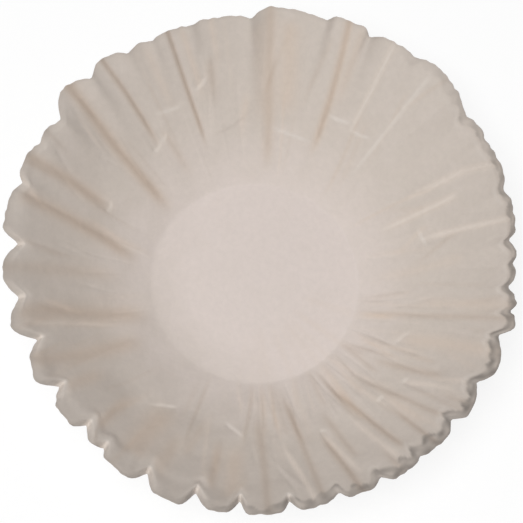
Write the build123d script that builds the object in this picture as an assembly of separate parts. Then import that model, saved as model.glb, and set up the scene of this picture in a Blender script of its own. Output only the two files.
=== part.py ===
"""A paper coffee filter of the basket kind: one flat disc of paper with its rim gathered into flutes.

Millimetres, +Z up. The origin is the centre of the base's underside, so the filter stands on z = 0.
The middle of the disc stays flat as the base, and the ring outside the crease becomes the wall.
Every line that runs straight out from the crease keeps its length, so a steeper wall gives a
narrower, taller bowl, and the paper that is too long for its circle stands in flutes. A notch is
where a flute comes in towards the bowl, and a crest is where it goes out. Bearings are in degrees
anticlockwise from +X, seen from above.
"""

import os
from math import cos, radians, sin, sqrt, tan

from build123d import *

# The cut disc and its paper. The base is pressed a little off the disc's centre, so the wall is
# longest at one bearing and shortest opposite it.
DISC_DIAMETER = 212.0
BASE_DIAMETER = 80.0
OFF_CENTRE, LONGEST_AT = 1.8, 47.0
PAPER_THICKNESS = 0.2

# The wall's slope from level, in degrees. It curves up from the crease to the rim.
CREASE_SLOPE = 24.0
RIM_SLOPE = 44.7
# The wall is this much flatter than that at one bearing, and as much steeper opposite it.
LEAN, LEANS_AT = 6.4, 39.0
# It is also this much flatter at both ends of one line across the bowl, which makes the rim a
# slight oval, and as much steeper at both ends of the line square to it.
OVAL, LONG_AT = 4.7, 79.0

# A flute deepens from the crease to the rim as the distance from the crease to this power.
# A deep one can be followed nearly down to the base, and the last kind only stands at the rim.
DEEP = 1.5
MIDDLE = 2.5
SHORT = 4.0
RIM = 6.0
# This share of a flute's depth is in the cut edge, which draws in at a notch along the last part
# of the wall. The paper moving out and in makes the rest.
EDGE_DRAW = 0.65
DRAWN_FROM = 0.7
# Halfway up a fold, from the notch, this share of the depth is still to come: folds bow out.
BOW = 0.36
# The flutes were read in a view this far from straight above, towards -Y.
READ_FROM = 17.0
# The wall's bands of flat panels, given as the share of its length at which each one ends.
BAND_ENDS = (0.4, 0.7, 0.86, 1.0)

# The flutes, anticlockwise. Each line holds the notch, the start and the end of the crest after it,
# each as its bearing in degrees and how far the rim stands out there in millimetres, seen in that
# view and below 0 where it comes in, and how far down the flute reaches.
FLUTES = [
    ((3.5, -4.25), (5.5, -1.5), (12.5, -0.75), SHORT),
    ((15.5, -2.75), (18.5, -0.25), (22.5, 0.0), SHORT),
    ((28.5, -1.25), (30.5, 0.0), (33.5, -1.0), SHORT),
    ((35.0, -3.0), (47.5, 5.5), (49.0, 5.5), MIDDLE),
    ((53.5, 1.5), (55.5, 3.0), (61.0, 2.75), MIDDLE),
    ((64.0, -2.5), (65.5, 3.0), (72.5, 4.5), SHORT),
    ((73.5, -0.75), (85.5, 3.5), (87.5, 3.25), DEEP),
    ((92.0, -6.25), (94.0, -3.25), (103.0, -2.0), DEEP),
    ((105.5, -4.0), (110.0, -2.5), (113.5, -3.0), MIDDLE),
    ((115.5, -4.5), (117.5, -2.25), (119.0, -2.25), MIDDLE),
    ((122.0, -3.75), (125.0, 1.25), (129.0, 2.0), SHORT),
    ((132.0, -2.5), (137.0, 4.0), (139.0, 3.75), MIDDLE),
    ((146.0, -4.75), (149.5, -1.25), (151.0, -1.5), SHORT),
    ((152.0, -2.25), (156.0, 1.0), (161.0, 1.0), SHORT),
    ((163.0, -1.75), (166.0, 1.5), (175.0, 1.75), SHORT),
    ((178.5, -4.25), (183.0, 1.0), (187.5, 0.75), RIM),
    ((191.5, -3.5), (196.0, 1.0), (199.5, 0.75), RIM),
    ((203.5, -5.75), (207.0, 0.25), (212.5, 0.25), RIM),
    ((216.0, -5.0), (219.0, -0.5), (225.0, -1.0), RIM),
    ((227.0, -4.25), (229.5, -1.5), (231.0, -1.5), RIM),
    ((233.0, -2.5), (234.5, -0.25), (241.5, 0.25), RIM),
    ((244.5, -3.5), (247.5, 1.25), (254.0, 1.0), RIM),
    ((256.5, -3.0), (259.5, 0.75), (264.0, 0.0), RIM),
    ((266.5, -3.25), (268.0, -0.25), (275.5, -0.25), RIM),
    ((277.5, -3.0), (279.5, -0.5), (285.5, -0.75), RIM),
    ((288.0, -2.5), (289.0, -0.75), (296.0, 0.0), RIM),
    ((298.0, -2.0), (300.0, 0.75), (306.5, 0.5), RIM),
    ((308.0, -0.75), (309.0, 0.25), (316.0, 0.25), RIM),
    ((318.5, -2.25), (320.5, 0.75), (324.0, 0.5), RIM),
    ((328.5, -3.0), (332.0, 0.5), (335.5, 0.75), RIM),
    ((340.5, -3.25), (342.5, 0.75), (346.5, 0.5), RIM),
    ((347.5, -1.25), (348.5, 0.0), (349.5, 0.0), RIM),
    ((352.5, -3.5), (355.0, -1.75), (356.5, -2.0), RIM),
    ((358.0, -3.0), (359.5, -1.5), (361.0, -1.75), RIM),
]

# The long folds of the wall, at each of which the paper steps in towards the bowl, going
# anticlockwise, or steps out where the height is below 0. Each line holds the fold's bearing at the
# rim, how many degrees it would turn anticlockwise all the way down to the base, the share of the
# wall's length at its foot, and the step's height in millimetres.
FOLDS = [
    (9.0, 6.0, 0.45, 1.1),
    (22.0, 9.0, 0.5, 1.2),
    (69.0, -4.0, 0.3, 1.6),
    (87.0, -3.0, 0.15, 1.2),
    (111.0, -2.0, 0.3, 1.5),
    (127.5, -3.0, 0.45, 1.4),
    (137.5, 2.0, 0.1, 2.2),
    (156.5, -2.0, 0.45, 1.2),
    (165.5, 4.0, 0.2, 1.9),
    (195.5, 3.5, 0.1, 1.7),
    (207.0, 3.5, 0.2, 1.6),
    (272.5, -2.0, 0.3, -1.0),
    (285.0, -1.5, 0.2, -1.0),
    (293.5, -3.0, 0.5, -1.5),
    (307.0, -3.0, 0.2, -1.6),
    (318.5, -5.0, 0.3, -0.8),
    (328.0, -4.0, 0.3, -0.8),
    (345.5, -2.5, 0.1, -0.9),
]
# The degrees that a fold's step takes, then those beside it over which the paper comes back, and
# the share of the wall's length over which the fold grows from its foot.
FOLD_WIDTH = 2.4
FOLD_EASE = 6.0
FOLD_RISE = 0.3
# A fold adds no line to the wall within this many degrees of a flute's line.
CLOSEST = 0.7


def turned(bearing, centre):
    """The signed way from a centre to a bearing, between -180 and 180 degrees."""
    return (bearing - centre + 180) % 360 - 180


def read_off(bearing, stops, item):
    """One item of the stops round the ring, read at a bearing on the straight line between two."""
    low = max(stops, key=lambda stop: -((bearing - stop[0]) % 360))
    high = min(stops, key=lambda stop: (stop[0] - bearing) % 360 or 360)
    way = ((bearing - low[0]) % 360) / ((high[0] - low[0]) % 360)
    return low[item] + way * (high[item] - low[item])


def halfway(notch, crest):
    """The stop midway between a notch and a crest, less far from the crest than from the notch."""
    bearing = crest[0] + turned(notch[0], crest[0]) / 2
    return bearing, crest[1] + BOW * (notch[1] - crest[1])


def columns():
    """The wall's upright lines in turn: bearing and offset at the rim, reach, and turn to the base."""
    stops = []
    for (notch, crest, crest_end, reach), after in zip(FLUTES, FLUTES[1:] + FLUTES[:1]):
        ring = (notch, halfway(notch, crest), crest, crest_end, halfway(after[0], crest_end))
        stops += [(bearing % 360, offset, reach) for bearing, offset in ring]
    beside = [fold[0] + side for fold in FOLDS for side in (-FOLD_WIDTH / 2, FOLD_WIDTH / 2)]
    beside = [b for b in beside if min(abs(turned(b, stop[0])) for stop in stops) > CLOSEST]
    found = stops + [(b, read_off(b, stops, 1), read_off(b, stops, 2)) for b in beside]
    return sorted((*stop, read_off(stop[0], FOLDS, 1)) for stop in found)


def fold_offset(bearing, share):
    """How far the long folds move the paper out, at a bearing of the rim and a share of the wall."""
    total = 0.0
    for fold_bearing, _, foot, height in FOLDS:
        across = turned(bearing, fold_bearing) / (FOLD_WIDTH / 2)
        side = 1 if across < 0 else -1
        beyond = (abs(across) - 1) * FOLD_WIDTH / 2 / FOLD_EASE
        step = -across if abs(across) < 1 else side * max(0.0, 1 - beyond)
        total += height / 2 * step * min(1.0, max(0.0, (share - foot) / FOLD_RISE))
    return total


def wall_length(bearing):
    """The length of the wall from the crease to the cut edge of the disc, at one bearing."""
    around = bearing - radians(LONGEST_AT)
    to_edge = sqrt((DISC_DIAMETER / 2) ** 2 - (OFF_CENTRE * sin(around)) ** 2)
    return to_edge + OFF_CENTRE * cos(around) - BASE_DIAMETER / 2


def rim_slope(bearing):
    """The slope of the wall at the rim, at one bearing, in radians from level."""
    lean = LEAN * cos(bearing - radians(LEANS_AT))
    oval = OVAL * cos(2 * (bearing - radians(LONG_AT)))
    return radians(RIM_SLOPE - lean - oval)


def wall_point(column, share, lift):
    """A point of the wall, at a share of its length and lifted off its underside by lift."""
    at_rim, offset, reach, turn = column
    bearing = radians(at_rim + turn * (1 - share))
    crease, rim = radians(CREASE_SLOPE), rim_slope(bearing)
    bend = wall_length(bearing) / (rim - crease)
    slope = crease + share * (rim - crease)
    # In the view that the offsets were read in, a move along the wall shows more at the back than
    # one across it, and less at the front.
    view = tan(radians(READ_FROM)) * sin(bearing)
    drawn = EDGE_DRAW * offset * (1 - view / tan(rim)) / (1 + view * tan(rim))
    drawn *= max(0.0, (share - DRAWN_FROM) / (1 - DRAWN_FROM))
    out = (1 - EDGE_DRAW) * offset / sin(rim) * share**reach + fold_offset(at_rim, share) - lift
    radius = BASE_DIAMETER / 2 + bend * (sin(slope) - sin(crease)) + drawn + out * sin(slope)
    height = bend * (cos(crease) - cos(slope)) + drawn * tan(slope) - out * cos(slope)
    return Vector(radius * cos(bearing), radius * sin(bearing), height)


def section(share, lift):
    """The wall's closed section at a share of its length, as a wire of straight edges."""
    points = [wall_point(column, share, lift) for column in columns()]
    return Wire.make_polygon(points, close=True)


def crease_section(lift):
    """The edge of the base, at one face of the paper, as a flat wire of straight edges."""
    inset = lift * sin(radians(CREASE_SLOPE)) / (1 + cos(radians(CREASE_SLOPE)))
    radius = BASE_DIAMETER / 2 - inset
    bearings = [radians(at_rim + turn) for at_rim, _, _, turn in columns()]
    points = [(radius * cos(b), radius * sin(b), lift) for b in bearings]
    return Wire.make_polygon(points, close=True)


def paper_face(lift):
    """The sections of one face of the paper, from its crease to its rim."""
    return [crease_section(lift)] + [section(share, lift) for share in BAND_ENDS]


def filter_paper():
    """The whole filter as one solid: base, fluted wall and the cut edge round the rim."""
    underside, inside = paper_face(0.0), paper_face(PAPER_THICKNESS)
    faces = [Face(underside[0]), Face(inside[0])]
    for sections in (underside, inside, [underside[-1], inside[-1]]):
        faces += Shell.make_loft(sections, ruled=True).faces()
    return Solid(Shell(faces))


os.makedirs("parts", exist_ok=True)
paper = filter_paper()
export_step(paper, "parts/filter_paper.step")
box = paper.bounding_box()
print(
    f"filter_paper: {box.size.X:.1f} x {box.size.Y:.1f} x {box.size.Z:.1f} mm,"
    f" {paper.volume:.0f} mm3, valid {paper.is_valid}"
)
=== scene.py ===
"""A bleached paper basket filter, dressed and lit as its photograph shows it.

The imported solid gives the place, the size and the flutes. Here the same disc of paper is built
again as one fine closed sheet: base, wall and flutes, and then what is too fine for the solid.
That is the creases pressed into the wall, the buckles where a flute ends, faint wrinkles, the
unevenness of handled paper, a lip that turns over beside the cut edge, and the frayed edge itself.

Lengths in the classes are millimetres and bearings are degrees anticlockwise from +X, seen from
above. A share is one of the wall's length, from 0 at the crease round the base to 1 at the cut
edge. The scene itself is in metres.
"""

import logging
from dataclasses import dataclass, field
from enum import Enum
from typing import ClassVar

import bpy
import numpy as np
from mathutils import Matrix, Vector


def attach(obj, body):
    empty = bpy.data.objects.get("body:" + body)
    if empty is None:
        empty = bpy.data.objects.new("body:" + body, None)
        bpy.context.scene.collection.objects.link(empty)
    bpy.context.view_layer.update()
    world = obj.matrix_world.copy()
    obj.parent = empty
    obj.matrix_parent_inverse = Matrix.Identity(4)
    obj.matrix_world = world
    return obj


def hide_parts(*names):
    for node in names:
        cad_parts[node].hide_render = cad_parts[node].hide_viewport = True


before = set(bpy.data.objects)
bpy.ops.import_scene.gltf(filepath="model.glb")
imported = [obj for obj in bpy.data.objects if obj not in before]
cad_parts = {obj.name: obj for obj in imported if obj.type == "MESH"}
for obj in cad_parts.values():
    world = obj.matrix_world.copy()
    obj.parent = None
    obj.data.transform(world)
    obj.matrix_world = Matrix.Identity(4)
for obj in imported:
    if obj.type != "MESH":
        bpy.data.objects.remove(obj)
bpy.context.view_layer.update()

NODE = "filter_paper"
MM = 0.001
# The wall's length, near enough all round to turn a small share of it into millimetres.
WALL_MM = 66.0
CRUMPLE_SEED = 11
CRUMPLE_WAVES = 48
LOG = logging.getLogger("filter")

Array = np.ndarray
Span = tuple[float, float]
Value = bpy.types.NodeSocket | float | tuple[float, float, float, float]


def linear_colour(hex_code: str) -> tuple[float, float, float, float]:
    """Turn an sRGB hex value into a linear colour, by the standard's own curve.

    Args:
        hex_code: The colour as "#RRGGBB".

    Returns:
        Red, green, blue and an alpha of 1, in linear light.
    """
    parts = [int(hex_code[i:i + 2], 16) / 255 for i in (1, 3, 5)]
    light = [c / 12.92 if c <= 0.04045 else ((c + 0.055) / 1.055) ** 2.4 for c in parts]
    return (*light, 1.0)


def add_node(
    tree: bpy.types.NodeTree, kind: str, links: dict[str | int, Value] | None = None, **settings: object
) -> bpy.types.Node:
    """Add one shader node with its settings, its input values and its links.

    Args:
        tree: The node tree that gets the node.
        kind: The node's type name.
        links: Input name or number, to an output socket or a plain value.
        **settings: Attributes set on the node itself.

    Returns:
        The new node.
    """
    node = tree.nodes.new(kind)
    for name, value in settings.items():
        setattr(node, name, value)
    for name, value in (links or {}).items():
        if isinstance(value, bpy.types.NodeSocket):
            tree.links.new(value, node.inputs[name])
        else:
            node.inputs[name].default_value = value
    return node


def ease(value: Array) -> Array:
    """Go smoothly from 0 to 1 as the value does, and stay there outside."""
    t = np.clip(value, 0.0, 1.0)
    return t * t * (3 - 2 * t)


def ramp(value: Array, start: float, length: float) -> Array:
    """Go smoothly from 0 at the start to 1 one length farther on, and stay there outside."""
    return ease((value - start) / length)


def climb(value: Array, start: float, length: float) -> Array:
    """Go evenly from 0 at the start to 1 one length farther on, and stay there outside."""
    return np.clip((value - start) / length, 0, 1)


def bell(value: Array) -> Array:
    """A soft hump that is 1 at 0 and almost gone at 2 to either side."""
    return np.exp(-(value**2))


def around(bearing: Array, centre: Array | float) -> Array:
    """The signed way from a centre to a bearing, between -180 and 180 degrees."""
    return (bearing - centre + 180.0) % 360.0 - 180.0


def nearness(bearing: Array, centre: float, reach: float) -> Array:
    """How near a bearing is to a centre: 1 on it, and smoothly down to 0 at the reach."""
    return ease(1 - np.abs(around(bearing, centre)) / reach)


def facing(bearing: Array, side: float) -> Array:
    """How squarely a bearing faces a side: 1 straight on, and 0 from a right angle onward."""
    return np.clip(np.cos(np.radians(bearing - side)), 0, 1)


def crumple(x: Array, y: Array, shortest: float, longest: float) -> Array:
    """The unevenness of handled paper, from waves of fixed seeded directions.

    Args:
        x: Places along +X in millimetres.
        y: Places along +Y in millimetres.
        shortest: The shortest wave in millimetres.
        longest: The longest wave in millimetres.

    Returns:
        Heights in millimetres whose slopes are about 1 on the whole.
    """
    draw = np.random.RandomState(CRUMPLE_SEED)
    total = np.zeros_like(x)
    for _ in range(CRUMPLE_WAVES):
        length = draw.uniform(shortest, longest)
        turn, phase = draw.uniform(0, 2 * np.pi, 2)
        wave = 2 * np.pi / length * (x * np.cos(turn) + y * np.sin(turn)) + phase
        total += np.sin(wave) * length / (2 * np.pi)
    return total * (2 / CRUMPLE_WAVES) ** 0.5


class Reach(Enum):
    """How far down the wall a flute of the rim can be followed.

    Each holds the power of the flute's growth upward, and the share of its depth that is only in
    the cut edge, drawn in along the last part of the wall.
    """

    DEEP = (1.5, 0.8)
    MIDDLE = (2.5, 0.65)
    SHORT = (4.0, 0.65)
    RIM = (6.0, 0.9)


class Press(Enum):
    """What a crease does to the wall, going anticlockwise across it.

    Each holds whether the paper steps there, or else is only raised along the line, and the way
    that it moves: -1 into the bowl and 1 out of it.
    """

    RIDGE = (False, -1)
    GROOVE = (False, 1)
    STEP_IN = (True, -1)
    STEP_OUT = (True, 1)


class Mark(Enum):
    """A painted shade or highlight on the paper, under the name by which the material reads it off the
    mesh.
    """

    HIGHLIGHT = "rubbed"
    FOLD_SHADE = "fold_shade"
    CREPE_SHADE = "crepe_shade"
    EDGE_SHADE = "edge_shade"


@dataclass(frozen=True)
class Flute:
    """One flute of the rim: a notch that comes in towards the bowl and the crest after it.

    Each stop is a bearing and how far the rim stands out there, in millimetres seen from above.
    """

    notch: Span
    crest: Span
    crest_end: Span
    reach: Reach


@dataclass(frozen=True)
class Lip:
    """How many degrees the paper beside the cut edge turns over outward, round one bearing."""

    bearing: float
    notch: float
    crest: float


@dataclass(frozen=True)
class Crease:
    """A line pressed into the wall, from its top end to its foot.

    The path is a run of (bearing, share of the wall's length). The size is the height that it
    makes in the paper and the width is how far it takes to do so. A hard crease gets a pale line
    of painted highlight along it.
    """

    # How a crease sets in at its foot and ends at its top: the share of the wall that this takes,
    # and how much of the crease there is at the path's last point already.
    FOOT_FADE: ClassVar[Span] = (0.2, 0.5)
    TOP_FADE: ClassVar[Span] = (0.1, 0.8)
    # The form across it, counted in widths: how round a ridge is and how fast it falls off, then
    # how steep a step is, how far its paper stays moved and how suddenly that ends.
    RIDGE_ROUND: ClassVar[float] = 0.2
    RIDGE_FALL: ClassVar[float] = 1.6
    STEP_RISE: ClassVar[float] = 1.5
    STEP_REACH: ClassVar[float] = 4.0
    STEP_END: ClassVar[float] = 1.5
    # Half the width of the pale line of painted highlight, in millimetres.
    PALE_HALF: ClassVar[float] = 0.7

    press: Press
    path: tuple[Span, ...]
    size: float
    width: float
    pale: float = 0.0

    def marks(self, bearing: Array, share: Array, radius: Array) -> tuple[Array, ...]:
        """Work out what the crease does to the wall.

        Args:
            bearing: Bearings in degrees.
            share: The share of the wall's length at the same points.
            radius: The distance from the axis at the same points, in millimetres.

        Returns:
            How far the paper moves out along its normal, in millimetres, then how much painted
            highlight it gets and how much warm painted shade it gets along a fold, both from 0 to 1.
        """
        points = np.array(sorted(self.path, key=lambda point: point[1]))
        line = np.interp(share, points[:, 1], points[:, 0])
        aside = np.radians(around(bearing, line)) * radius / self.width
        (foot_takes, at_foot), (top_takes, at_top) = self.FOOT_FADE, self.TOP_FADE
        fade = ease((share - points[0, 1]) / foot_takes + at_foot)
        fade = fade * ease((points[-1, 1] - share) / top_takes + at_top)
        steps, way = self.press.value
        if steps:
            shape = np.tanh(aside * self.STEP_RISE)
            shape = shape * np.exp(-np.abs(aside / self.STEP_REACH) ** self.STEP_END)
            # Warm painted shade along the fold of a step.
            fold_shade = self.size * (1 - self.pale) * bell(aside) * fade
        else:
            off = np.sqrt(aside**2 + self.RIDGE_ROUND**2) - self.RIDGE_ROUND
            shape, fold_shade = np.exp(-off * self.RIDGE_FALL), np.zeros_like(aside)
        # A pale line of painted highlight along a hard crease.
        pale = self.pale * bell(aside * self.width / self.PALE_HALF) * fade
        return way * self.size * shape * fade, pale, fold_shade


@dataclass(frozen=True)
class Buckle:
    """The short line across the wall at which a flute ends and the paper steps out above it.

    Both ends are (bearing, share of the wall's length). The size is how far the paper steps out,
    and the sag is how far the line hangs down between its ends, as a share.
    """

    # In millimetres: how far up the step takes, how far above it the paper comes back, and half
    # the width of its pale line of painted highlight.
    STEP: ClassVar[float] = 1.4
    COMES_BACK: ClassVar[float] = 8.0
    PALE_HALF: ClassVar[float] = 0.6
    # How it fades at its ends: the share of its length that this takes, and what is left there.
    END_FADE: ClassVar[Span] = (0.4, 0.3)

    start: Span
    end: Span
    size: float
    sag: float = 0.01
    pale: float = 0.2

    def marks(self, bearing: Array, share: Array) -> tuple[Array, Array]:
        """Work out what the buckle does to the wall.

        Args:
            bearing: Bearings in degrees.
            share: The share of the wall's length at the same points.

        Returns:
            How far the paper moves out along its normal, in millimetres, and how much painted highlight
            it gets, from 0 to 1.
        """
        (start, first), (end, last) = self.start, self.end
        way = around(bearing, start) / (end - start)
        line = first + way * (last - first) - self.sag * (1 - (2 * way - 1) ** 2)
        above = (share - line) * WALL_MM
        step = ease(above / self.STEP + 0.5) * np.exp(-np.clip(above, 0, None) / self.COMES_BACK)
        takes, left = self.END_FADE
        fade = ease(way / takes + left) * ease((1 - way) / takes + left)
        return self.size * step * fade, self.pale * bell(above / self.PALE_HALF) * fade


@dataclass(frozen=True)
class Wrinkles:
    """Many faint creases that run up the wall, with some more where it is tucked in.

    Each span is what a value is drawn from. Feet and lengths are shares of the wall's length, and
    the lean is how many degrees of bearing a wrinkle strays on its way up.
    """

    seed: int = 4
    count: int = 200
    foot: Span = (0.02, 0.8)
    tucked: Span = (265.0, 355.0)
    tucked_foot: Span = (0.01, 0.1)
    tucked_every: int = 4
    length: Span = (0.12, 0.45)
    lean: float = 2.5
    size: Span = (0.08, 0.26)
    width: Span = (0.6, 1.4)

    def creases(self) -> tuple[Crease, ...]:
        """Draw the wrinkles at their fixed seeded places.

        Returns:
            The wrinkles as creases.
        """
        draw = np.random.RandomState(self.seed)
        found = []
        for number in range(self.count):
            foot, bearing = draw.uniform(*self.foot), draw.uniform(0, 360)
            if number % self.tucked_every == 0:
                foot, bearing = draw.uniform(*self.tucked_foot), draw.uniform(*self.tucked)
            top, turn = min(1.0, foot + draw.uniform(*self.length)), draw.normal(0, self.lean)
            press = tuple(Press)[draw.randint(len(Press))]
            size, width = draw.uniform(*self.size), draw.uniform(*self.width)
            found.append(Crease(press, ((bearing, foot), (bearing + turn, top)), size, width))
        return tuple(found)


@dataclass(frozen=True)
class Flare:
    """How the top of the wall opens outward at one side, and how the lip bends beside the cut edge.

    Turns are degrees. A bend is the share of the wall's length at which it starts and the share
    that it takes. The lip's spread says how fast its turn grows from a crest to a notch, and a full
    lip is the turn at which it counts as bent in full, for its painted highlight.
    """

    faces: float = 180.0
    wall_turn: float = 4.0
    wall_bend: Span = (0.55, 0.3)
    rim_turn: float = 5.0
    rim_bend: Span = (0.84, 0.06)
    lip_bend: Span = (0.925, 0.025)
    lip_blend: float = 4.0
    lip_spread: float = 0.75
    full_lip: float = 60.0


@dataclass(frozen=True)
class RimShade:
    """Painted shade in a ragged grey band along the cut edge, and a painted highlight just below it,
    like that of a soft fold.

    Depths and places up the wall are shares of its length, and reaches are degrees of bearing. The
    greys and the pale are how strong a tone is, from 0 to 1. The fall says how long the grey lasts
    towards the ends of its reach: the lower, the longer.
    """

    centre: float = 330.0
    reach: float = 90.0
    fall: float = 0.5
    # The band's depth: the least, what is added round one bearing, then the part of it that it
    # loses in a notch, and what it gains on that past a bearing.
    depth: float = 0.06
    more_depth: float = 0.075
    deepest: Span = (305.0, 70.0)
    notch_loss: float = 0.6
    notch_gain: float = 0.9
    gains_from: Span = (276.0, 24.0)
    # The border's place, its raggedness and its softness, as parts of the depth. The waves are
    # millimetres.
    border: float = 0.75
    ragged: float = 0.2
    ragged_waves: Span = (2.2, 7.0)
    border_soft: float = 0.25
    # The band's tone of painted shade, patchy in places.
    grey: float = 0.64
    notch_grey: float = 0.1
    patch_grey: float = 0.25
    patch_waves: Span = (2.5, 7.0)
    least_grey: float = 0.2
    # Painted shade on the cut edge itself, a little grey all round.
    edge_grey: float = 0.75
    edge_all_round: float = 0.15
    edge_reach: float = 110.0
    edge_band: Span = (0.977, 0.02)
    # The painted highlight just below the border, like a soft fold, and how it fades from the notches
    # towards the crests.
    border_highlight: float = 0.35
    highlight_below: float = 0.02
    highlight_half: float = 0.016
    highlight_fade: float = 0.5


@dataclass
class FilterSheet:
    """The disc of paper, pressed to a flat base and a fluted wall.

    The wall curves up from its slope at the crease to its slope at the rim. The disc was pressed
    off its centre, so the wall is longer at one side. It also leans and is slightly oval, and the
    base rises early at one side. Slopes, rises and the lean are degrees. A span is the place where
    something sets in and over how far it does so, unless its comment says otherwise.
    """

    # How a value read round the rim is blended across a corner, from one side of it to the other.
    CORNER_WEIGHTS: ClassVar[tuple[float, ...]] = (0.25, 0.6, 1.0, 1.0, 0.6, 0.25)

    disc_diameter: float = 212.0
    base_diameter: float = 80.0
    off_centre: float = 1.8
    longest_at: float = 47.0
    thickness: float = 0.2
    crease_slope: float = 24.0
    crease_bend: Span = (-1.0, 1.8)
    rim_slope: float = 44.7
    rim_radius: float = 95.0
    early_rise: float = 17.0
    early_way: float = 17.0
    rises_at: float = 212.0
    lean: float = 6.4
    leans_at: float = 39.0
    oval: float = 4.7
    long_at: float = 79.0
    # The rim was read in a view from the front, this many degrees off straight down.
    read_from: float = 17.0

    # The flutes: the part by which a flank bows out halfway, how soft the corners are at the rim
    # and how much softer at the foot, and how far one flute blends into the next, in degrees.
    flutes: tuple[Flute, ...] = field(default_factory=lambda: FLUTES)
    bow: float = 0.36
    corner: float = 0.45
    foot_corner: float = 4.0
    crest_blend: float = 1.0
    reach_blend: float = 3.0
    drawn_from: Span = (0.7, 0.3)

    # The finer forms, with the share by which each is there in full. Waves are the shortest and
    # the longest in millimetres, and each crumple adds its slope in degrees.
    creases: tuple[Crease, ...] = field(default_factory=lambda: CREASES)
    buckles: tuple[Buckle, ...] = field(default_factory=lambda: BUCKLES)
    wrinkles: Wrinkles = Wrinkles()
    pressed_by: float = 0.06
    crumples: tuple[tuple[float, float, float], ...] = ((7.0, 26.0, 1.5), (3.0, 7.0, 1.0))
    crumpled_by: float = 0.3
    frayed: float = 0.2
    frayed_from: Span = (0.9, 0.1)
    frayed_waves: Span = (2.2, 4.5)
    lips: tuple[Lip, ...] = field(default_factory=lambda: LIPS)
    flare: Flare = Flare()

    # The paper's tones: painted highlight at the rim and on the bent lip, painted shade up the wall, at
    # the crease and where the base rises early, and painted shade in a band along the cut edge.
    rim_shade: RimShade = RimShade()
    rim_highlight: float = 0.08
    rim_highlight_from: Span = (0.6, 0.3)
    lip_highlight: float = 0.22
    lip_highlight_half: float = 1.3
    early_shade: float = 0.5
    base_edge_shade: float = 0.3
    base_edge_shade_over: Span = (-0.6, 1.2)
    wall_shade: float = 0.7
    wall_shade_by: float = 28.0

    # The mesh. The profile is followed in fine steps, so many to a millimetre near the crease and
    # so many in all up the wall, and a few of them become rows: each group is a place and a number
    # of rows, from that place on at the crease and up to it elsewhere.
    columns: int = 680
    fine_steps: int = 80
    wall_steps: int = 2000
    crease_end: float = 1.5
    early_rows: tuple[float, int] = (-2.0, 5)
    crease_rows: tuple[float, int] = (-1.1, 5)
    row_bands: tuple[tuple[float, int], ...] = ((0.25, 12), (0.68, 40), (0.9, 13), (1.0, 13))
    base_rings: int = 4

    def wall_length(self, bearing: Array) -> Array:
        """Measure the wall from the crease to the cut edge.

        Args:
            bearing: Bearings in degrees.

        Returns:
            The wall's length at each.
        """
        turn = np.radians(bearing - self.longest_at)
        to_edge = np.sqrt((self.disc_diameter / 2) ** 2 - (self.off_centre * np.sin(turn)) ** 2)
        return to_edge + self.off_centre * np.cos(turn) - self.base_diameter / 2

    def slope_at_rim(self, bearing: Array) -> Array:
        """Work out the wall's slope at the rim.

        Args:
            bearing: Bearings in degrees.

        Returns:
            The slope at each, in radians from level.
        """
        lean = self.lean * np.cos(np.radians(bearing - self.leans_at))
        oval = self.oval * np.cos(2 * np.radians(bearing - self.long_at))
        return np.radians(self.rim_slope - lean - oval)

    def around_rim(self, bearing: Array, stops: list[Span], soft: Array | float) -> Array:
        """Read a value off stops round the rim, joined by straight lines with slightly soft corners.

        Args:
            bearing: Bearings in degrees.
            stops: Pairs of bearing and value.
            soft: The half width of the rounding at a corner, in degrees.

        Returns:
            The value at each bearing.
        """
        knots, weights = np.array(stops), np.array(self.CORNER_WEIGHTS)
        total = np.zeros_like(bearing)
        for weight, shift in zip(weights / weights.sum(), np.linspace(-soft, soft, len(weights))):
            total += weight * np.interp(bearing + shift, knots[:, 0], knots[:, 1], period=360.0)
        return total

    def rim_stops(self) -> list[Span]:
        """List the stops round the rim.

        Returns:
            The ends of each notch and crest, and a point halfway up each fold, which bows out.
        """
        stops = []
        for flute, after in zip(self.flutes, self.flutes[1:] + self.flutes[:1]):
            stops += [flute.notch, self.halfway(flute.notch, flute.crest), flute.crest]
            stops += [flute.crest_end, self.halfway(after.notch, flute.crest_end)]
        return stops

    def halfway(self, notch: Span, crest: Span) -> Span:
        """The stop midway between a notch and a crest, less far from the crest than from the notch."""
        bearing = crest[0] + float(around(np.array(notch[0]), crest[0])) / 2
        return bearing, crest[1] + self.bow * (notch[1] - crest[1])

    def flute_offset(self, bearing: Array, share: Array) -> Array:
        """How far the flutes would move the rim out if they reached it in full, seen from above.

        Args:
            bearing: Bearings in degrees.
            share: The share of the wall's length at the same points. Folds are softer lower down.

        Returns:
            The offset in millimetres, below 0 where a notch comes in.
        """
        return self.around_rim(bearing, self.rim_stops(), self.corner + self.foot_corner * (1 - share))

    def flute_growth(self, bearing: Array, share: Array) -> tuple[Array, Array]:
        """Work out how a flute's depth comes about.

        Args:
            bearing: Bearings in degrees.
            share: The share of the wall's length at the same points.

        Returns:
            The share of the depth that the flute has on its way up the wall, and the share of it
            that is only in the cut edge, drawn in along the last part of the wall.
        """
        powers, drawn = [], []
        for flute in self.flutes:
            power, only_edge = flute.reach.value
            for place in (flute.notch[0], flute.crest_end[0]):
                powers.append((place, power))
                drawn.append((place, only_edge))
        growth = share ** self.around_rim(bearing, powers, self.reach_blend)
        return growth, self.around_rim(bearing, drawn, self.reach_blend)

    def crestness(self, bearing: Array) -> Array:
        """Work out how near the rim is to a crest.

        Args:
            bearing: Bearings in degrees.

        Returns:
            0 at a notch and 1 at a crest, for each bearing.
        """
        stops = []
        for flute in self.flutes:
            stops += [(flute.notch[0], 0.0), (flute.crest[0], 1.0), (flute.crest_end[0], 1.0)]
        return self.around_rim(bearing, stops, self.crest_blend)

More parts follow.
